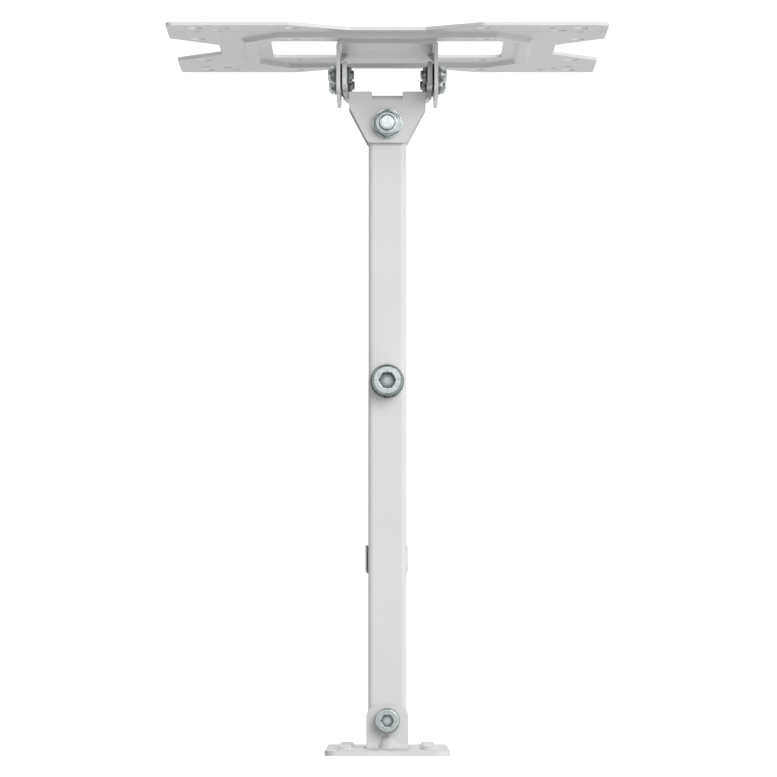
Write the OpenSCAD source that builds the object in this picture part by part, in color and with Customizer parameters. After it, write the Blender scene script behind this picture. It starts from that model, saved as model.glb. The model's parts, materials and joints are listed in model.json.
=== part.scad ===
// Full-motion swing-arm wall mount for a flat screen.
// Origin: centre of the wall bolt pattern, on the back face of the wall plate.
// The mount reaches out along -Y, +Z is up. Sizes are in millimetres.

/* [Wall plate] */
// Width of the wall plate
wall_plate_w = 64; // [60:1:80]
// Height of the wall plate
wall_plate_h = 200; // [180:5:240]
// Thickness of the wall plate and of the yoke
heavy_sheet = 2.5; // [2:0.5:3]
// Distance of the wall pivot from the wall
wall_pivot_out = 17; // [17:0.5:22]
// Width of the two pivot ears
wall_ear_w = 22; // [21:0.5:24]
// Spacing of the four wall anchors across the plate
anchor_dx = 44; // [38:1:46]
// Spacing of the four wall anchors up the plate
anchor_dz = 176; // [168:2:176]
// Diameter of a wall anchor hole
anchor_d = 7; // [5:0.5:8]

/* [Arms] */
// Width of both arm tubes
arm_w = 20; // [18:1:20]
// Height of the wall arm tube
wall_arm_h = 40; // [30:2:40]
// Height of the forearm tube
forearm_h = 20; // [20:1:24]
// Wall thickness of the tubes
tube_t = 1.8; // [1.5:0.1:2.2]
// Pivot to pivot length of the wall arm
wall_arm_len = 178; // [160:2:220]
// Pivot to pivot length of the forearm
forearm_len = 139.4; // [120:0.2:180]
// Distance of the cable clip from the elbow
clip_from_elbow = 93; // [60:1:120]

/* [Head] */
// Distance from the head pivot to the wall-side face of the screen plate
head_to_screen = 41.2; // [41:0.2:44]
// Distance of the tilt screws from the screen plate
tilt_from_screen = 16.5; // [16:0.1:17]
// Height of the clamp screws above the middle of the screen plate, and of the tilt axis below it
tilt_screw_z = 27; // [24:1:28]
// Largest tilt with the screen looking up that the arc slots allow, in degrees
tilt_up = 3; // [1:1:3]
// Largest tilt with the screen looking down that the arc slots allow, in degrees
tilt_down = 7; // [3:1:7]

/* [Screen plate] */
// Width of the screen plate
screen_w = 229; // [222:1:232]
// Height of the screen plate
screen_h = 226; // [222:1:232]
// Thickness of the screen plate
screen_t = 1.8; // [1.5:0.1:2]
// Spacing of the outer screen holes
vesa_large = 200; // [200:1:200]
// Spacing of the inner screen holes
vesa_small = 100; // [100:1:100]
// Height of the pressed ring
ring_h = 2; // [1:0.1:2.4]

/* [Hidden] */
$fn = 64;
e = 0.01;

// Running fits and gaps
run = 0.1;         // a bore that turns on a pin is this much wider
loose = 0.4;       // a bore that is only clamped is this much wider
spacer_gap = 1;    // gap between turning faces, which a spacer fills
spacer_t = 0.8;    // spacers and friction washers
face_gap = 0.1;    // a washer that a turning face slides past

// Screws
m8 = 8;
m10 = 10;
m5 = 5;

// Main places
elbow_y = -wall_pivot_out - wall_arm_len;
head_y = elbow_y - forearm_len;
screen_y = head_y - head_to_screen;
forearm_z = -(wall_arm_h + forearm_h) / 2 - spacer_gap;

// Wall plate
ear_in_z = wall_arm_h / 2 + spacer_gap;
ear_out_z = ear_in_z + heavy_sheet;
ear_bend = 2;
ear_end = wall_pivot_out + 8;
ear_corner = 6;
plate_corner = 6;
window_w = wall_ear_w + 2;
window_half = ear_out_z + ear_bend;
relief_d = 3;
pivot_spacer_d = 15;
ear_dart_w = 8;
ear_dart_reach = 7;
bead_x = 21.75;
bead_half = 70;
bead_base_r = 4.75;
bead_top_r = 2.9;
bead_h = 1.8;
bead_wall = 0.8;
stud_z = 84;
stud_d = 9;

// Elbow
spring_washer_d = 17.8;
spring_washer_t = 2.2;
elbow_washer_t = 2;

// Yoke
flange_in = forearm_h / 2 + spacer_gap;
flange_out = flange_in + heavy_sheet;
fold = 1;
ear_fold = 2.5;
yoke_ear_x = 21.4;
web_front = 15.4;
web_back = web_front - heavy_sheet;
web_half_z = flange_in - 0.3;
yoke_ear_end = 31.4;
yoke_ear_z = 37;
flange_fold_w = 16.2;
flange_half_w = 20.5;
flange_tab_end = 17.3;
flange_slant_from = 9.2;
nose_half_w = 10.3;
nose_end = 10.1;
head_washer_t = 1.6;

// Tilt channel
channel_t = 2;
channel_half_w = yoke_ear_x + heavy_sheet + spacer_gap + channel_t;
channel_half_h = 48;
channel_reach = 28.3;
channel_dart_z = -8;
channel_dart_w = 4.5;
channel_dart_reach = 4;
slot_w = m5 + 0.6;
slot_r = 2 * tilt_screw_z;
slot_spare = 0.3;   // extra travel of the arc slots at each end, in degrees
tilt_seat = channel_half_w + face_gap;
tilt_head_washer_t = 1.2;
tilt_flat_washer_t = 0.5;
tilt_nut_h = 2;
tilt_thread_end = 1.3;   // length of thread past the nut

// Pressed ring of the screen plate: an eight-sided ridge, measured to its outer foot
ring_w = 8.8;       // foot to foot
ring_flank = 1.9;   // width of each sloping flank
ring_a = 77;        // half width
ring_b = 78;        // half height
ring_c = 92.8;      // distance of the slanted sides from the middle
ring_turn = 36.5;   // direction that the slanted sides face, in degrees from the X axis

// Openings of the screen plate
notch_tip_x = 89.5;      // V-shaped notch in each side edge
notch_tip_z = 22.5;
notch_from_z = 53;
dip_half_w = 49.5;       // dip in the upper and lower edges
dip_floor_half_w = 20;
dip_floor_z = 91;
window_in_x = 24;
window_out_x = 61.7;
window_h = 79;

// General helpers

// Points of an outline whose corners are rounded, with one radius for each corner
function rounded(pts, radii, steps = 6) = [
    for (i = [0 : len(pts) - 1])
        let (
            p = pts[i],
            u = unit(pts[(i + len(pts) - 1) % len(pts)] - p),
            v = unit(pts[(i + 1) % len(pts)] - p),
            r = radii[i],
            half = acos(u * v) / 2,
            centre = p + unit(u + v) * r / sin(half),
            first = p + u * r / tan(half) - centre,
            last = p + v * r / tan(half) - centre,
            from = atan2(first.y, first.x),
            raw = atan2(last.y, last.x) - from,
            turn = raw > 180 ? raw - 360 : raw < -180 ? raw + 360 : raw
        )
        for (k = r > 0 ? [0 : steps] : [0])
            r > 0 ? centre + r * [cos(from + turn * k / steps), sin(from + turn * k / steps)] : p
];

function unit(v) = v / norm(v);

module rounded_rect(w, h, r) {
    square([w - 2 * r, h], center = true);
    square([w, h - 2 * r], center = true);
    for (x = [-1, 1], y = [-1, 1])
        translate([x * (w / 2 - r), y * (h / 2 - r)])
            circle(r);
}

// Sheet in the X-Z plane, from y = 0 towards the room
module facing_wall(t) {
    rotate([90, 0, 0])
        linear_extrude(t)
            children();
}

// Sheet in the Y-Z plane, centred on x = 0
module facing_side(t) {
    rotate([90, 0, 90])
        translate([0, 0, -t / 2])
            linear_extrude(t)
                children();
}

// Quarter of a ring round Z, from the X axis to the Y axis, centred in height
module bend(r_in, t, width) {
    rotate_extrude(angle = 90)
        translate([r_in, -width / 2])
            square([t, width]);
}

module ring(d_out, d_in, t) {
    difference() {
        cylinder(d = d_out, h = t);
        translate([0, 0, -e])
            cylinder(d = d_in, h = t + 2 * e);
    }
}

module both_sides() {
    for (x = [0, 1])
        mirror([x, 0, 0])
            children();
}

module both_levels() {
    for (z = [0, 1])
        mirror([0, 0, z])
            children();
}

module at_wall_pivot() {
    translate([0, -wall_pivot_out, 0])
        children();
}

module at_elbow() {
    translate([0, elbow_y, 0])
        children();
}

module at_head() {
    translate([0, head_y, forearm_z])
        children();
}

// Screws, nuts and washers

// Head above z = 0, shank below it
module socket_screw(d, head_d, head_h, key, len) {
    chamfer = 0.06 * head_d;
    tip = 0.1 * d;
    difference() {
        rotate_extrude()
            polygon([
                [0, -len], [d / 2 - tip, -len], [d / 2, -len + tip], [d / 2, 0],
                [head_d / 2 - 0.2, 0], [head_d / 2, 0.2], [head_d / 2, head_h - chamfer],
                [head_d / 2 - chamfer, head_h], [0, head_h]
            ]);
        translate([0, 0, head_h / 2])
            cylinder(d = key / cos(30), h = head_h, $fn = 6);
        translate([0, 0, head_h - 0.3])
            cylinder(d1 = key, d2 = key + 1.6, h = 0.6);
    }
}

// Hexagon with both ends chamfered, from z = 0 up
module hexagon(across, h) {
    r = across / 2 / cos(30);
    cut = r - across / 2 + 0.2;
    rise = cut * tan(30);
    intersection() {
        cylinder(r = r, h = h, $fn = 6);
        rotate_extrude()
            polygon([
                [0, 0], [r - cut, 0], [r, rise], [r, h - rise], [r - cut, h], [0, h]
            ]);
    }
}

// Lock nut: hexagon with a round collar that holds the nylon ring
module lock_nut(d, across, h) {
    collar = 0.3 * h;
    difference() {
        union() {
            hexagon(across, h - collar);
            rotate_extrude()
                polygon([
                    [0, 0], [across * 0.46, 0], [across * 0.46, h - 0.8], [across * 0.40, h], [0, h]
                ]);
        }
        translate([0, 0, -e])
            cylinder(d = d + loose / 2, h = h + 2 * e);
    }
}

// Arms

module tube_section(inset, h) {
    rounded_rect(arm_w - 2 * inset, h - 2 * inset, 2.6 - inset);
}

// Plan of an arm whose ends are rounded about its pivots
module arm_plan(len, r) {
    translate([-r, -len])
        square([2 * r, len]);
    circle(r);
    translate([0, -len])
        circle(r);
}

module arm_tube(len, h, near_d, far_d) {
    r = arm_w / 2;
    difference() {
        intersection() {
            translate([0, r, 0])
                facing_wall(len + 2 * r)
                    tube_section(0, h);
            translate([0, 0, -h / 2])
                linear_extrude(h)
                    arm_plan(len, r);
        }
        translate([0, r + e, 0])
            facing_wall(len + 2 * r + 2 * e)
                tube_section(tube_t, h);
        translate([0, 0, -h])
            cylinder(d = near_d, h = 2 * h);
        translate([0, -len, -h])
            cylinder(d = far_d, h = 2 * h);
    }
}

module sleeve(h, d_out, d_in) {
    translate([0, 0, -h / 2 + tube_t])
        ring(d_out, d_in, h - 2 * tube_t);
}

// Plastic plug round a sleeve, with a rounded nose flush with the arm's end towards +Y
module end_plug(h, sleeve_d) {
    gap = 0.05;
    legs = 5;       // length of the two legs beside the sleeve, past its axis
    set_back = 0.3; // how far the nose lies inside the arm's end
    difference() {
        intersection() {
            translate([0, arm_w / 2, 0])
                facing_wall(arm_w / 2 + legs)
                    tube_section(tube_t + gap, h);
            cylinder(r = arm_w / 2 - set_back, h = h, center = true);
        }
        cylinder(d = sleeve_d + 2 * gap, h = h, center = true);
        translate([0, -sleeve_d / 2, 0])
            cube([sleeve_d + 2 * gap, sleeve_d, h], center = true);
    }
}

// Wall bracket

module bead(h, shrink) {
    for (z = [-1, 1])
        translate([0, 0, z * bead_half])
            rotate([90, 0, 0])
                cylinder(r1 = bead_base_r - shrink, r2 = bead_top_r - shrink, h = h);
    translate([0, 0, -bead_half])
        linear_extrude(2 * bead_half)
            polygon([
                [-bead_base_r + shrink, 0], [bead_base_r - shrink, 0],
                [bead_top_r - shrink, -h], [-bead_top_r + shrink, -h]
            ]);
}

// Rib pressed into the inside corner of a bend: a cylinder across the corner at 45 degrees.
// The bend runs along X, and its faces are y = 0 and z = 0, with the free space at -y and +z.
module dart(w, reach) {
    intersection() {
        translate([-w / 2, -reach, -1])
            cube([w, reach + 1, reach + 1]);
        translate([0, -0.5 * reach + w / 2 * sin(45), 0.5 * reach - w / 2 * sin(45)])
            rotate([-45, 0, 0])
                cylinder(d = w, h = 4 * reach, center = true);
    }
}

module wall_ear() {
    intersection() {
        union() {
            translate([-wall_ear_w / 2, -ear_end, ear_in_z])
                cube([wall_ear_w, ear_end - ear_bend - heavy_sheet, heavy_sheet]);
            translate([0, -ear_bend - heavy_sheet, ear_out_z + ear_bend])
                rotate([0, 90, 0])
                    bend(ear_bend, heavy_sheet, wall_ear_w);
        }
        linear_extrude(2 * wall_arm_h)
            polygon(rounded([
                [-wall_ear_w / 2, -ear_end], [wall_ear_w / 2, -ear_end],
                [wall_ear_w / 2, 1], [-wall_ear_w / 2, 1]
            ], [ear_corner, ear_corner, 0, 0]));
    }
    translate([0, -heavy_sheet, ear_out_z])
        dart(ear_dart_w, ear_dart_reach);
}

module wall_plate() {
    color("whitesmoke")
    difference() {
        union() {
            difference() {
                facing_wall(heavy_sheet)
                    rounded_rect(wall_plate_w, wall_plate_h, plate_corner);
                translate([0, e, 0])
                    facing_wall(heavy_sheet + 2 * e)
                        window_shape();
            }
            both_levels()
                wall_ear();
            for (x = [-1, 1])
                translate([x * bead_x, -heavy_sheet, 0])
                    bead(bead_h, 0);
        }
        for (x = [-1, 1])
            translate([x * bead_x, e, 0])
                bead(bead_h, bead_wall);
        for (x = [-1, 1], z = [-1, 1])
            translate([x * anchor_dx / 2, 1, z * anchor_dz / 2])
                rotate([90, 0, 0])
                    cylinder(d = anchor_d, h = 2 * heavy_sheet);
        for (z = [-1, 1])
            translate([0, 1, z * stud_z])
                rotate([90, 0, 0])
                    cylinder(d = stud_d, h = 2 * heavy_sheet);
        at_wall_pivot()
            cylinder(d = m8 + loose, h = 2 * wall_arm_h, center = true);
    }
}

// Window that the two ears are folded out of, with round reliefs at its corners
module window_shape() {
    square([window_w, 2 * window_half], center = true);
    for (x = [-1, 1], z = [-1, 1])
        translate([x * window_w / 2, z * window_half])
            circle(d = relief_d);
}

module wall_pivot_screw() {
    color("lightsteelblue")
    at_wall_pivot()
        translate([0, 0, ear_out_z])
            socket_screw(m8, 13, 8, 6, 2 * ear_out_z + 9);
}

module wall_pivot_washers() {
    color("dimgray")
    at_wall_pivot()
        both_levels()
            translate([0, 0, ear_in_z - spacer_t])
                ring(pivot_spacer_d, m8 + loose, spacer_t);
}

module wall_pivot_nut() {
    color("lightsteelblue")
    at_wall_pivot()
        translate([0, 0, -ear_out_z])
            mirror([0, 0, 1])
                lock_nut(m8, 13, 8);
}

// Wall arm

module wall_arm() {
    color("whitesmoke")
    at_wall_pivot()
        arm_tube(wall_arm_len, wall_arm_h, m8 + run, m10 + loose);
}

module wall_arm_sleeves() {
    color("silver") {
        at_wall_pivot()
            sleeve(wall_arm_h, 12, m8 + run);
        at_elbow()
            sleeve(wall_arm_h, 14, m10 + loose);
    }
}

module wall_arm_plugs() {
    color("gainsboro") {
        at_wall_pivot()
            end_plug(wall_arm_h, 12);
        at_elbow()
            mirror([0, 1, 0])
                end_plug(wall_arm_h, 14);
    }
}

// Clip pushed over the arm from below, with a trough for cables under the arm.
// It sits hard against one side of the tube.
module cable_clip() {
    t = 0.95;
    gap = 0.3;
    len = 15;
    trough = 9;
    top = 12.8;     // height of its two ends above the middle of the arm
    corner = 3;
    w = arm_w + 2 * gap + 2 * t;
    bottom = -wall_arm_h / 2 - trough - t;
    color("white")
    translate([gap, elbow_y + clip_from_elbow, 0])
        intersection() {
            translate([0, len / 2, 0])
                facing_wall(len)
                    difference() {
                        translate([0, (top + corner + bottom) / 2])
                            rounded_rect(w, top + corner - bottom, corner);
                        translate([0, 1])
                            rounded_rect(arm_w + 2 * gap, wall_arm_h + 2, 2.4);
                        translate([0, -(wall_arm_h + trough) / 2])
                            rounded_rect(arm_w - 2, trough, 1.5);
                        translate([0, -wall_arm_h / 2])
                            square([arm_w - 4, 2], center = true);
                        translate([-w, top])
                            square([2 * w, 2 * corner]);
                    }
            translate([0, 0, 2 * bottom])
                linear_extrude(4 * -bottom)
                    rounded_rect(w, len, 1.5);
        }
}

// Elbow

module elbow_screw() {
    past_washer = 12;
    below = wall_arm_h / 2 + spacer_gap + forearm_h + face_gap + elbow_washer_t + past_washer;
    color("lightsteelblue")
    at_elbow()
        translate([0, 0, wall_arm_h / 2 + spring_washer_t])
            socket_screw(m10, 16, 10, 8, wall_arm_h / 2 + spring_washer_t + below);
}

// Split spring washer under the head of the elbow screw
module elbow_spring_washer() {
    split = 0.9;
    color("slategray")
    at_elbow()
        translate([0, 0, wall_arm_h / 2])
            difference() {
                ring(spring_washer_d, m10 + 0.2, spring_washer_t);
                rotate([0, 0, 90])
                    translate([m10 / 2, -0.5, -1])
                        rotate([20, 0, 0])
                            cube([spring_washer_d / 2, split, 3 * spring_washer_t]);
            }
}

module elbow_spacer() {
    color("dimgray")
    at_elbow()
        translate([0, 0, -wall_arm_h / 2 - spacer_t])
            ring(arm_w - 1, m10 + loose, spacer_t);
}

module elbow_washer() {
    color("lightsteelblue")
    at_elbow()
        translate([0, 0, forearm_z - forearm_h / 2 - face_gap - elbow_washer_t])
            ring(arm_w, m10 + loose, elbow_washer_t);
}

module elbow_nut() {
    color("lightsteelblue")
    at_elbow()
        translate([0, 0, forearm_z - forearm_h / 2 - face_gap - elbow_washer_t])
            mirror([0, 0, 1])
                lock_nut(m10, 17, 10);
}

// Forearm

module forearm() {
    color("whitesmoke")
    translate([0, elbow_y, forearm_z])
        arm_tube(forearm_len, forearm_h, m10 + run, m8 + run);
}

module forearm_sleeves() {
    color("silver") {
        translate([0, elbow_y, forearm_z])
            sleeve(forearm_h, 14, m10 + run);
        at_head()
            sleeve(forearm_h, 12, m8 + run);
    }
}

module forearm_plugs() {
    color("gainsboro") {
        translate([0, elbow_y, forearm_z])
            end_plug(forearm_h, 14);
        at_head()
            mirror([0, 1, 0])
                end_plug(forearm_h, 12);
    }
}

// Swivel yoke, cut and folded from one sheet

module yoke_flange() {
    fold_half = flange_fold_w / 2;
    half = [
        [fold_half, -web_back + fold], [fold_half, -flange_tab_end],
        [flange_half_w, -flange_tab_end], [flange_half_w, -flange_slant_from], [nose_half_w, nose_end]
    ];
    other = [for (i = [len(half) - 1 : -1 : 0]) [-half[i].x, half[i].y]];
    translate([0, 0, flange_in])
        linear_extrude(heavy_sheet)
            polygon(rounded(concat(half, other), [0, 0.6, 0.6, 3, 3, 3, 3, 0.6, 0.6, 0]));
    translate([0, -web_back + fold, flange_in - fold])
        rotate([0, 0, 180])
            rotate([90, 0, 90])
                bend(fold, heavy_sheet, flange_fold_w);
}

module yoke_ear() {
    straight = -web_front - ear_fold;
    translate([yoke_ear_x + heavy_sheet / 2, 0, 0])
        facing_side(heavy_sheet)
            polygon(rounded([
                [-yoke_ear_end, -yoke_ear_z], [straight, -yoke_ear_z],
                [straight, yoke_ear_z], [-yoke_ear_end, yoke_ear_z]
            ], [5, 2, 2, 5]));
    translate([yoke_ear_x - ear_fold, straight, 0])
        bend(ear_fold, heavy_sheet, 2 * web_half_z);
}

// Web between the ears: full height beside the fold, lower where the fold leaves it
module yoke_web() {
    half_w = yoke_ear_x - ear_fold;
    side_w = half_w - flange_fold_w / 2;
    translate([0, -(web_front + web_back) / 2, 0]) {
        cube([2 * half_w, heavy_sheet, 2 * (flange_in - fold)], center = true);
        for (x = [-1, 1])
            translate([x * (half_w - side_w / 2), 0, 0])
                cube([side_w, heavy_sheet, 2 * web_half_z], center = true);
    }
}

module swivel_yoke() {
    color("whitesmoke")
    at_head()
        difference() {
            union() {
                yoke_web();
                both_sides()
                    yoke_ear();
                both_levels()
                    yoke_flange();
            }
            cylinder(d = m8 + loose, h = 4 * forearm_h, center = true);
            at_tilt_screws()
                cylinder(d = m5 + 0.2, h = 4 * yoke_ear_x, center = true);
        }
}

// Four tilt screws seen from the head pivot; +Z of each points outwards
module at_tilt_screws() {
    both_sides()
        for (z = [-1, 1])
            translate([0, tilt_from_screen - head_to_screen, z * tilt_screw_z])
                rotate([0, 90, 0])
                    children();
}

module head_bolt() {
    head_h = 5.3;
    past_washer = 12;
    tip = 0.8;
    under_head = -flange_out - head_washer_t;
    top = flange_out + head_washer_t + past_washer;
    color("lightsteelblue")
    at_head() {
        translate([0, 0, under_head - head_h])
            rotate([0, 0, 30])
                hexagon(13, head_h);
        rotate_extrude()
            polygon([
                [0, under_head - e], [m8 / 2, under_head - e], [m8 / 2, top - tip],
                [m8 / 2 - tip, top], [0, top]
            ]);
    }
}

module head_washers() {
    color("lightsteelblue")
    at_head()
        both_levels()
            translate([0, 0, flange_out])
                ring(16, m8 + loose, head_washer_t);
}

module head_spacers() {
    color("dimgray")
    at_head()
        both_levels()
            translate([0, 0, flange_in - spacer_t])
                ring(16, m8 + loose, spacer_t);
}

module head_nut() {
    color("lightsteelblue")
    at_head()
        translate([0, 0, flange_out + head_washer_t])
            rotate([0, 0, 30])
                lock_nut(m8, 13, 8);
}

// Tilt hardware, four of each

// Pan head screws with a cross recess, whose threads end past the nuts
module tilt_screws() {
    inner = yoke_ear_x - tilt_flat_washer_t - tilt_nut_h - tilt_thread_end;
    outer = tilt_seat + tilt_head_washer_t;
    head_r = 4.7;
    head_h = 3.4;
    rim = 0.8;
    color("lightsteelblue")
    at_head()
        at_tilt_screws()
            difference() {
                rotate_extrude()
                    polygon(concat(
                        [[0, inner], [m5 / 2 - 0.5, inner], [m5 / 2, inner + 0.5], [m5 / 2, outer],
                            [head_r, outer], [head_r, outer + rim]],
                        [for (a = [15 : 15 : 75])
                            [1.7 + (head_r - 1.7) * cos(a), outer + rim + (head_h - rim) * sin(a)]],
                        [[1.7, outer + head_h], [0, outer + head_h]]
                    ));
                translate([0, 0, outer + head_h])
                    for (a = [45, 135])
                        rotate([0, 0, a])
                            cube([5.6, 1.2, 3.6], center = true);
            }
}

module tilt_head_washers() {
    color("darkslategray")
    at_head()
        at_tilt_screws()
            translate([0, 0, tilt_seat])
                ring(10, m5 + 0.2, tilt_head_washer_t);
}

module tilt_friction_washers() {
    color("black")
    at_head()
        at_tilt_screws()
            translate([0, 0, yoke_ear_x + heavy_sheet])
                ring(12, m5 + 0.4, spacer_t);
}

module tilt_flat_washers() {
    color("lightsteelblue")
    at_head()
        at_tilt_screws()
            translate([0, 0, yoke_ear_x - tilt_flat_washer_t])
                ring(10, m5 + 0.2, tilt_flat_washer_t);
}

module tilt_nuts() {
    color("lightsteelblue")
    at_head()
        at_tilt_screws()
            translate([0, 0, yoke_ear_x - tilt_flat_washer_t - tilt_nut_h])
                difference() {
                    hexagon(8, tilt_nut_h);
                    translate([0, 0, -e])
                        cylinder(d = m5 + 0.1, h = tilt_nut_h + 2 * e);
                }
}

// Tilt channel, folded from one sheet; y = 0 is its face on the screen plate

module arc_slot(r, from, to, w) {
    intersection() {
        difference() {
            circle(r + w / 2, $fn = 180);
            circle(r - w / 2, $fn = 180);
        }
        polygon([[0, 0], 2 * r * [cos(from), sin(from)], 2 * r * [cos(to), sin(to)]]);
    }
    for (a = [from, to])
        translate(r * [cos(a), sin(a)])
            circle(d = w);
}

module channel_ear() {
    fold_r = fold + channel_t;
    translate([channel_half_w - channel_t / 2, 0, 0])
        facing_side(channel_t)
            difference() {
                polygon(rounded([
                    [fold_r, -channel_half_h], [channel_reach, -channel_half_h],
                    [channel_reach, channel_half_h], [fold_r, channel_half_h]
                ], [0, 18, 4, 0], 12));
                translate([tilt_from_screen, -tilt_screw_z]) {
                    circle(d = m5 + run);
                    arc_slot(slot_r, 90 - tilt_down - slot_spare, 90 + tilt_up + slot_spare, slot_w);
                }
            }
    translate([channel_half_w - fold_r, fold_r, 0])
        rotate([0, 0, -90])
            bend(fold, channel_t, 2 * channel_half_h);
}

module tilt_channel() {
    fold_r = fold + channel_t;
    color("whitesmoke")
    translate([0, screen_y, forearm_z]) {
        translate([0, channel_t / 2, 0])
            cube([2 * (channel_half_w - fold_r), channel_t, 2 * channel_half_h], center = true);
        both_sides() {
            channel_ear();
            translate([channel_half_w - channel_t, channel_t, channel_dart_z])
                rotate([-90, 0, 0])
                    rotate([0, 0, -90])
                        dart(channel_dart_w, channel_dart_reach);
        }
    }
}

// Screen plate

// Bar across the plate along Y, with a half width at z = 0 that narrows by lean for each mm of height
module ring_bar(half, lean, low, high) {
    rotate([90, 0, 0])
        linear_extrude(4 * ring_b, center = true)
            polygon([
                [-half + lean * low, low], [half - lean * low, low],
                [half - lean * high, high], [-half + lean * high, high]
            ]);
}

// Eight-sided block with sloping sides: the bars of its four pairs of opposite sides, crossed
module ring_block(inset, lean, low, high) {
    intersection() {
        ring_bar(ring_a - inset, lean, low, high);
        rotate([0, 0, 90])
            ring_bar(ring_b - inset, lean, low, high);
        rotate([0, 0, ring_turn])
            ring_bar(ring_c - inset, lean, low, high);
        rotate([0, 0, -ring_turn])
            ring_bar(ring_c - inset, lean, low, high);
    }
}

// The ridge, which starts half a millimetre below z = 0
module pressed_ring() {
    lean = ring_flank / ring_h;
    low = -0.5;
    difference() {
        ring_block(0, lean, low, ring_h);
        ring_block(ring_w, -lean, low - e, ring_h + e);
    }
}

module screen_outline() {
    w = screen_w / 2;
    h = screen_h / 2;
    quarter = [[w, notch_from_z], [w, h], [dip_half_w, h], [dip_floor_half_w, dip_floor_z]];
    radii = [5, 4, 5, 3];
    left = [for (i = [3 : -1 : 0]) [-quarter[i].x, quarter[i].y]];
    upper = concat([[notch_tip_x, notch_tip_z]], quarter, left, [[-notch_tip_x, notch_tip_z]]);
    lower = [for (i = [len(upper) - 1 : -1 : 0]) [upper[i].x, -upper[i].y]];
    r = concat([3], radii, [3, 5, 4, 5], [3]);
    polygon(rounded(concat(upper, lower), concat(r, r)));
}

module screen_window() {
    translate([(window_in_x + window_out_x) / 2, 0])
        rounded_rect(window_out_x - window_in_x, window_h, 3);
}

// Slot of two round ends, drawn along X
module slot_shape(between, d) {
    square([between, d], center = true);
    for (s = [-1, 1])
        translate([s * between / 2, 0])
            circle(d = d);
}

// Holes of one corner: a drilled pattern of the outer and inner spacings, two small holes
// and a slot that points at the middle
module screen_holes() {
    depth = 3 * screen_t;
    small = 84;
    slot_at = 89.5;
    for (col = [vesa_small, vesa_large], row = [vesa_small, vesa_large])
        translate([col / 2, row / 2])
            cylinder(d = col == vesa_large ? 8.2 : 7, h = depth);
    for (p = [[vesa_large / 2, small], [small, vesa_large / 2]])
        translate(p)
            cylinder(d = 4.5, h = depth);
    translate([slot_at, slot_at])
        rotate([0, 0, 45])
            linear_extrude(depth)
                slot_shape(4, 5);
}

module screen_plate() {
    color("whitesmoke")
    translate([0, screen_y, forearm_z])
        difference() {
            union() {
                facing_wall(screen_t)
                    screen_outline();
                rotate([-90, 0, 0])
                    pressed_ring();
            }
            translate([0, -screen_t, 0])
                rotate([-90, 0, 0])
                    pressed_ring();
            translate([0, screen_t, 0])
                rotate([90, 0, 0])
                    both_sides() {
                        linear_extrude(3 * screen_t)
                            screen_window();
                        for (z = [0, 1])
                            mirror([0, z, 0])
                                screen_holes();
                    }
        }
}

wall_plate();
wall_pivot_screw();
wall_pivot_washers();
wall_pivot_nut();
wall_arm();
wall_arm_sleeves();
wall_arm_plugs();
cable_clip();
elbow_screw();
elbow_spring_washer();
elbow_spacer();
elbow_washer();
elbow_nut();
forearm();
forearm_sleeves();
forearm_plugs();
swivel_yoke();
head_bolt();
head_washers();
head_spacers();
head_nut();
tilt_screws();
tilt_head_washers();
tilt_friction_washers();
tilt_flat_washers();
tilt_nuts();
tilt_channel();
screen_plate();
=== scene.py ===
import json
import math

import bpy
from mathutils import Matrix, Vector


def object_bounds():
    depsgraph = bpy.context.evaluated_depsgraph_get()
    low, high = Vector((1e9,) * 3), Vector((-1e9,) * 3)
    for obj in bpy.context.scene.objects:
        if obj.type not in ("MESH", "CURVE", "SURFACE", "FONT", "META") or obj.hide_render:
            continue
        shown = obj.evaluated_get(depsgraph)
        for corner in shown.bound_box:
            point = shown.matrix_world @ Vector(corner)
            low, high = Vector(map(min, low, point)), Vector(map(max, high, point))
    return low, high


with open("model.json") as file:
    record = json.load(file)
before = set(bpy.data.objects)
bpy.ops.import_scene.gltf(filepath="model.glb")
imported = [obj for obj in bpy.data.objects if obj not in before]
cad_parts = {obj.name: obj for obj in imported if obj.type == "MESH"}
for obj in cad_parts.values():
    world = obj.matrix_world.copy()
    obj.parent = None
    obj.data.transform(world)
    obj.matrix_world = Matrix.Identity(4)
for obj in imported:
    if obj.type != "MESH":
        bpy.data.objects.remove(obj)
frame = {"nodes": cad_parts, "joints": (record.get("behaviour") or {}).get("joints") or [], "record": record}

CAD_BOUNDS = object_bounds()
MM = 0.001
NODES = frame["nodes"]
PIVOTS = {joint["name"]: tuple(joint["pos_m"]) for joint in frame["joints"]}

# Photograph: image size in pixels, focal length in pixels, and the column of the mount's middle
PHOTO_PX = 777
FOCAL_PX = 5392
MIDDLE_PX = 387.3
# The point straight below the camera lies this far from the wall and from the image's centre row
CAMERA_OUT = 53.9 * MM
CAMERA_HEIGHT = 2850 * MM
FOOT_PX = 261.5

# Key light: direction that it comes from, point that it faces, distance and size, power in watts
KEY_FROM = (-0.34, -0.36, 0.87)
KEY_AIM = (0, -0.2, 0)
KEY_DISTANCE = 1.8
KEY_SIZE = 1.1
KEY_POWER = 14.6
# Dome: how bright it is towards each side
DOME = {"+X": 0.08, "-X": 0.90, "+Y": 0.08, "-Y": 0.20, "+Z": 0.50, "-Z": 0.20}
# Sine of the elevation up to which the white backdrop shows in metal, and where it has faded out
BACKDROP_RISE = (0.05, 0.30)
# Floor: distance below the mount, half of its width, colour, and glow for the camera
FLOOR_DROP = 0.35
FLOOR_HALF = 12
FLOOR_COLOUR = (0.45, 0.45, 0.45, 1)
FLOOR_GLOW = 0.75

# Noise is stretched from this range, where most of it lies
NOISE_RANGE = (0.3, 0.7)
# Painted shade in creases: open share of a point's surroundings at which it is darkest, and at which it ends
PAINTED_SHADE_RANGE = (0.40, 0.88)
PAINTED_SHADE_DARKEST = 0.14
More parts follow.
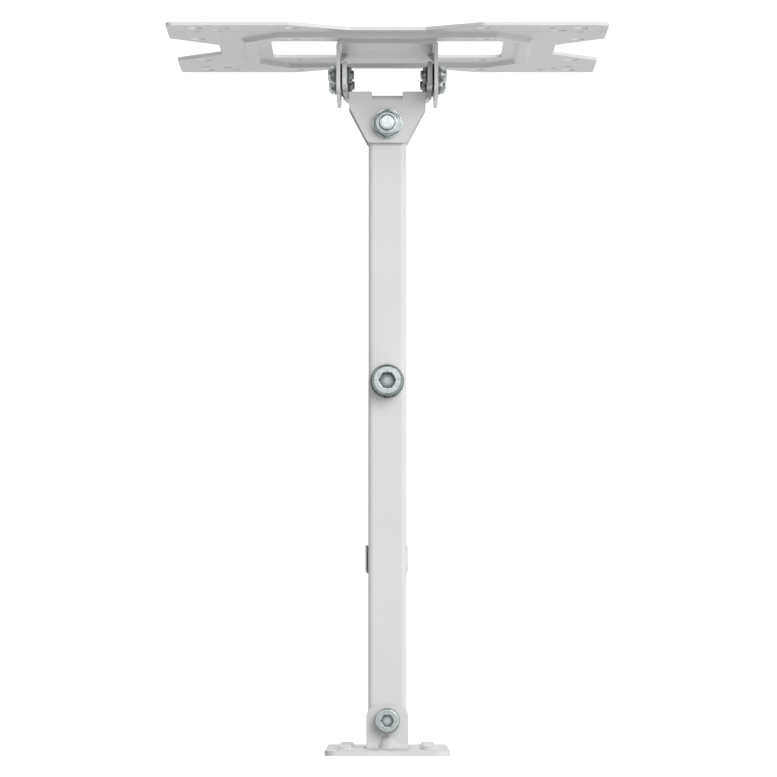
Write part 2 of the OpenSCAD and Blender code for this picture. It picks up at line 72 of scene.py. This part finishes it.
# Knurled rim, drawn as painted shade: number of teeth, darkest and lightest painted shade of one tooth, and
# half the width of its edge
RIM_TEETH = 56.0
RIM_PAINTED_SHADE_RANGE = (0.18, 0.72)
RIM_EDGE = 0.15 * MM
# Folds sharper than this stay sharp
SHARP_ANGLE = math.radians(28)

# Small turned parts whose zinc is mottled at random, its near-black blotches being painted dark reflection
PAINTED_REFLECTION_NODES = ("tilt_screws", "tilt_nuts", "tilt_flat_washers")
# Turned parts: joint whose axis they turn on, start of a knurled rim's painted shade, and reach of painted
# shade in creases
TURNED_NODES = {
    "wall_pivot_screw": ("wall_swivel", 6.1 * MM, 2.5 * MM),
    "elbow_screw": ("elbow", 7.05 * MM, 4.5 * MM),
    "head_bolt": ("head_swivel", None, 2 * MM),
    "head_nut": ("head_swivel", None, 2.5 * MM),
    "head_washers": ("head_swivel", None, 2.5 * MM),
}


# Node trees

class Tree:
    """Short calls for building a node tree."""

    def __init__(self, tree):
        self.tree = tree

    def add(self, kind, **settings):
        node = self.tree.nodes.new("ShaderNode" + kind)
        for name, value in settings.items():
            setattr(node, name, value)
        return node

    def feed(self, node, **values):
        """Sets a node's inputs to numbers or tuples, or links them; _ stands for a space."""
        for name, value in values.items():
            self.feed_socket(node.inputs[name.replace("_", " ")], value)

    def feed_socket(self, socket, value):
        if isinstance(value, (int, float, tuple)):
            socket.default_value = value
        else:
            self.tree.links.new(value, socket)

    def maths(self, operation, first, second=0.0):
        node = self.add("Math", operation=operation)
        self.feed_socket(node.inputs[0], first)
        self.feed_socket(node.inputs[1], second)
        return node.outputs[0]

    def span(self, value, low, high, to_low, to_high):
        """Stretches the range from low to high to another range."""
        node = self.add("MapRange")
        self.feed(node, Value=value, From_Min=low, From_Max=high, To_Min=to_low, To_Max=to_high)
        return node.outputs[0]

    def background_rays(self):
        """Camera rays, and then those together with the rays that metal and glass send on."""
        path = self.add("LightPath").outputs
        camera = path["Is Camera Ray"]
        shiny = self.maths("MAXIMUM", camera, path["Is Glossy Ray"])
        return camera, self.maths("MAXIMUM", shiny, path["Is Transmission Ray"])


class Surface(Tree):
    """A material and its patterns, in the object's own coordinates."""

    def __init__(self, name):
        self.material = bpy.data.materials.new(name)
        self.material.use_nodes = True
        super().__init__(self.material.node_tree)
        self.shader = self.tree.nodes["Principled BSDF"]
        self.coords = self.add("TexCoord").outputs["Object"]

    def put(self, **values):
        self.feed(self.shader, **values)

    def noise(self, scale, detail=3.0):
        node = self.add("TexNoise")
        self.feed(node, Scale=scale, Detail=detail, Vector=self.coords)
        return node.outputs["Fac"]

    def mottled(self, scale, low, high):
        """Noise from low to high."""
        return self.span(self.noise(scale), *NOISE_RANGE, low, high)

    def colours(self, noise, first, second):
        """Noise from the first colour to the second."""
        node = self.add("ValToRGB")
        for element, place, colour in zip(node.color_ramp.elements, NOISE_RANGE, (first, second)):
            element.position = place
            element.color = (*colour, 1)
        self.feed(node, Fac=noise)
        return node.outputs["Color"]

    def coords_from(self, centre):
        node = self.add("Mapping", vector_type="TEXTURE")
        self.feed(node, Location=centre, Vector=self.coords)
        return node.outputs[0]

    def rings(self, centre, scale):
        """Turning marks round a vertical axis."""
        node = self.add("TexWave", wave_type="RINGS", rings_direction="Z")
        coords = self.coords_from(centre)
        self.feed(node, Scale=scale, Distortion=1.5, Detail_Scale=4.0, Vector=coords)
        return node.outputs["Fac"]

    def bevel(self, radius):
        node = self.add("Bevel", samples=6)
        self.feed(node, Radius=radius)
        return node.outputs["Normal"]

    def bump(self, height, distance, strength, normal):
        node = self.add("Bump")
        self.feed(node, Height=height, Distance=distance, Strength=strength, Normal=normal)
        return node.outputs["Normal"]

    def multiply(self, colour, grey):
        node = self.add("Mix", data_type="RGBA", blend_type="MULTIPLY")
        self.feed(node, Factor=1.0, A=colour, B=grey)
        return node.outputs["Result"]

    def painted_crevice_shade(self, colour, reach):
        """Paints shade into a colour in corners, sockets and gaps narrower than the reach."""
        node = self.add("AmbientOcclusion", samples=8)
        self.feed(node, Distance=reach)
        openness = self.span(node.outputs["AO"], *PAINTED_SHADE_RANGE, PAINTED_SHADE_DARKEST, 1.0)
        return self.multiply(colour, openness)

    def painted_knurl_shade(self, colour, centre, radius):
        """Paints shade on what lies beyond the radius from a vertical axis, with one dark band to a tooth.
        """
        split = self.add("SeparateXYZ")
        self.feed(split, Vector=self.coords_from(centre))
        x, y = split.outputs["X"], split.outputs["Y"]
        squares = self.maths("ADD", self.maths("MULTIPLY", x, x), self.maths("MULTIPLY", y, y))
        from_axis = self.maths("SQRT", squares)
        turn = self.maths("MULTIPLY", self.maths("ARCTAN2", y, x), RIM_TEETH)
        tooth_shade = self.span(self.maths("SINE", turn), -1, 1, *RIM_PAINTED_SHADE_RANGE)
        inside = self.span(from_axis, radius - RIM_EDGE, radius + RIM_EDGE, 1, 0)
        return self.multiply(colour, self.maths("MAXIMUM", tooth_shade, inside))


# Camera and light

def make_camera():
    data = bpy.data.cameras.new("photo_camera")
    data.sensor_width = 36
    data.lens = FOCAL_PX / PHOTO_PX * data.sensor_width
    data.clip_start = 0.1
    data.clip_end = 30
    lean = math.atan(FOOT_PX / FOCAL_PX)
    off_axis = (PHOTO_PX / 2 - MIDDLE_PX) / FOCAL_PX * CAMERA_HEIGHT
    right = Vector((-1, 0, 0))
    up = Vector((0, -math.cos(lean), math.sin(lean)))
    back = right.cross(up)
    place = Matrix((right, up, back)).transposed().to_4x4()
    place.translation = Vector((-off_axis, -CAMERA_OUT, CAMERA_HEIGHT))
    camera = bpy.data.objects.new("photo_camera", data)
    camera.matrix_world = place
    bpy.context.scene.collection.objects.link(camera)
    bpy.context.scene.camera = camera


def make_key_light():
    data = bpy.data.lights.new("key", "AREA")
    data.shape = "DISK"
    data.size = KEY_SIZE
    data.energy = KEY_POWER
    light = bpy.data.objects.new("key", data)
    direction = Vector(KEY_FROM).normalized()
    light.location = Vector(KEY_AIM) + direction * KEY_DISTANCE
    light.rotation_euler = direction.to_track_quat("Z", "Y").to_euler()
    bpy.context.scene.collection.objects.link(light)


def make_world():
    """White for the camera; a dome whose brightness towards each side lights the object."""
    world = bpy.data.worlds.new("studio")
    bpy.context.scene.world = world
    world.use_nodes = True
    world.node_tree.nodes.clear()
    t = Tree(world.node_tree)
    split = t.add("SeparateXYZ")
    t.feed(split, Vector=t.add("TexCoord").outputs["Generated"])
    level = 0.0
    for (sign, axis), brightness in DOME.items():
        towards = t.maths("MULTIPLY", split.outputs[axis], float(sign + "1"))
        part = t.maths("MULTIPLY", t.maths("MAXIMUM", towards, 0.0), brightness)
        level = t.maths("ADD", level, part)
    camera, background = t.background_rays()
    backdrop = t.span(split.outputs["Z"], *BACKDROP_RISE, 1, 0)
    shown = t.maths("MAXIMUM", camera, t.maths("MULTIPLY", background, backdrop))

    white = t.add("Background")
    t.feed(white, Color=(1, 1, 1, 1), Strength=1.0)
    dome = t.add("Background")
    t.feed(dome, Color=(1, 1, 1, 1), Strength=level)
    mix = t.add("MixShader")
    for socket, value in zip(mix.inputs, (shown, dome.outputs[0], white.outputs[0])):
        t.feed_socket(socket, value)
    t.feed(t.add("OutputWorld"), Surface=mix.outputs[0])


def make_floor():
    """Pale floor well below the mount; its own glow makes it white for the camera."""
    level = CAD_BOUNDS[0][2] - FLOOR_DROP
    signs = ((-1, -1), (1, -1), (1, 1), (-1, 1))
    corners = [(x * FLOOR_HALF, y * FLOOR_HALF, level) for x, y in signs]
    mesh = bpy.data.meshes.new("floor")
    mesh.from_pydata(corners, [], [(0, 1, 2, 3)])
    floor = bpy.data.objects.new("floor", mesh)
    bpy.context.scene.collection.objects.link(floor)

    material = bpy.data.materials.new("floor_white")
    material.use_nodes = True
    material.node_tree.nodes.clear()
    t = Tree(material.node_tree)
    matte = t.add("BsdfDiffuse")
    t.feed(matte, Color=FLOOR_COLOUR)
    glow = t.add("Emission")
    t.feed(glow, Strength=t.maths("MULTIPLY", t.background_rays()[1], FLOOR_GLOW))
    both = t.add("AddShader")
    for socket, node in zip(both.inputs, (matte, glow)):
        t.feed_socket(socket, node.outputs[0])
    t.feed(t.add("OutputMaterial"), Surface=both.outputs[0])
    mesh.materials.append(material)


# Materials

def white_paint():
    """Satin powder coat with a fine orange peel."""
    s = Surface("white_paint")
    s.put(
        Base_Color=s.colours(s.noise(35), (0.735, 0.737, 0.735), (0.765, 0.765, 0.76)),
        Roughness=s.mottled(240, 0.30, 0.40),
        Normal=s.bump(s.noise(950, 2), 0.02 * MM, 0.25, s.bevel(0.35 * MM)),
    )
    return s.material


def zinc(name, light=(0.74, 0.79, 0.80), dark=(0.60, 0.68, 0.67), blotch=160,
         axis=None, rim=None, reach=2 * MM):
    """Zinc plating, with painted shade in its corners and gaps; where they are given, turning rings round an
    axis and a knurled rim drawn as painted shade.
    """
    s = Surface(name)
    plating_and_shade = s.painted_crevice_shade(s.colours(s.noise(blotch, 4), dark, light), reach)
    if rim:
        plating_and_shade = s.painted_knurl_shade(plating_and_shade, axis, rim)
    normal = s.bump(s.noise(2600, 4), 0.01 * MM, 0.5, s.bevel(0.25 * MM))
    if axis:
        normal = s.bump(s.rings(axis, 420), 0.006 * MM, 0.5, normal)
    s.put(
        Metallic=1.0,
        Base_Color=plating_and_shade,
        Roughness=s.mottled(700, 0.22, 0.36),
        Normal=normal,
    )
    return s.material


def dark_steel():
    s = Surface("dark_steel")
    s.put(
        Metallic=1.0,
        Base_Color=s.colours(s.noise(300), (0.16, 0.18, 0.19), (0.30, 0.33, 0.34)),
        Roughness=s.mottled(900, 0.32, 0.5),
        Normal=s.bump(s.noise(3000), 0.01 * MM, 0.6, s.bevel(0.2 * MM)),
    )
    return s.material


def black_nylon():
    s = Surface("black_nylon")
    s.put(
        Base_Color=s.colours(s.noise(500), (0.012, 0.012, 0.013), (0.028, 0.028, 0.03)),
        Roughness=s.mottled(900, 0.45, 0.6),
        Normal=s.bump(s.noise(2500), 0.01 * MM, 0.6, s.bevel(0.2 * MM)),
    )
    return s.material


def white_plastic():
    s = Surface("white_plastic")
    s.put(
        Base_Color=s.colours(s.noise(60), (0.74, 0.74, 0.73), (0.78, 0.78, 0.77)),
        Roughness=s.mottled(500, 0.32, 0.42),
        Subsurface_Weight=0.05,
        Subsurface_Radius=(2 * MM, 2 * MM, 2 * MM),
        Normal=s.bump(s.noise(1600), 0.008 * MM, 0.5, s.bevel(0.3 * MM)),
    )
    return s.material


def dress_nodes():
    slots = {part["node"]: part["material_slot"] for part in frame["record"]["subparts"]}
    by_slot = {
        "white_paint": white_paint(),
        "zinc": zinc("zinc"),
        "dark_steel": dark_steel(),
        "black_nylon": black_nylon(),
        "white_plastic": white_plastic(),
    }
    # Mottled zinc whose near-black blotches are painted dark reflection, for the small turned parts
    painted_reflection_zinc = zinc("zinc_painted_dark_reflection", light=(0.66, 0.70, 0.70), dark=(0.12, 0.13, 0.13), blotch=700)
    for name, node in NODES.items():
        material = painted_reflection_zinc if name in PAINTED_REFLECTION_NODES else by_slot[slots[name]]
        if name in TURNED_NODES:
            joint, rim, reach = TURNED_NODES[name]
            material = zinc("zinc_" + name, axis=PIVOTS[joint], rim=rim, reach=reach)
        for slot in node.material_slots:
            slot.material = material
        for polygon in node.data.polygons:
            polygon.use_smooth = True
        node.data.set_sharp_from_angle(angle=SHARP_ANGLE)


bpy.context.scene.view_settings.view_transform = "Standard"
make_camera()
make_world()
make_key_light()
make_floor()
dress_nodes()
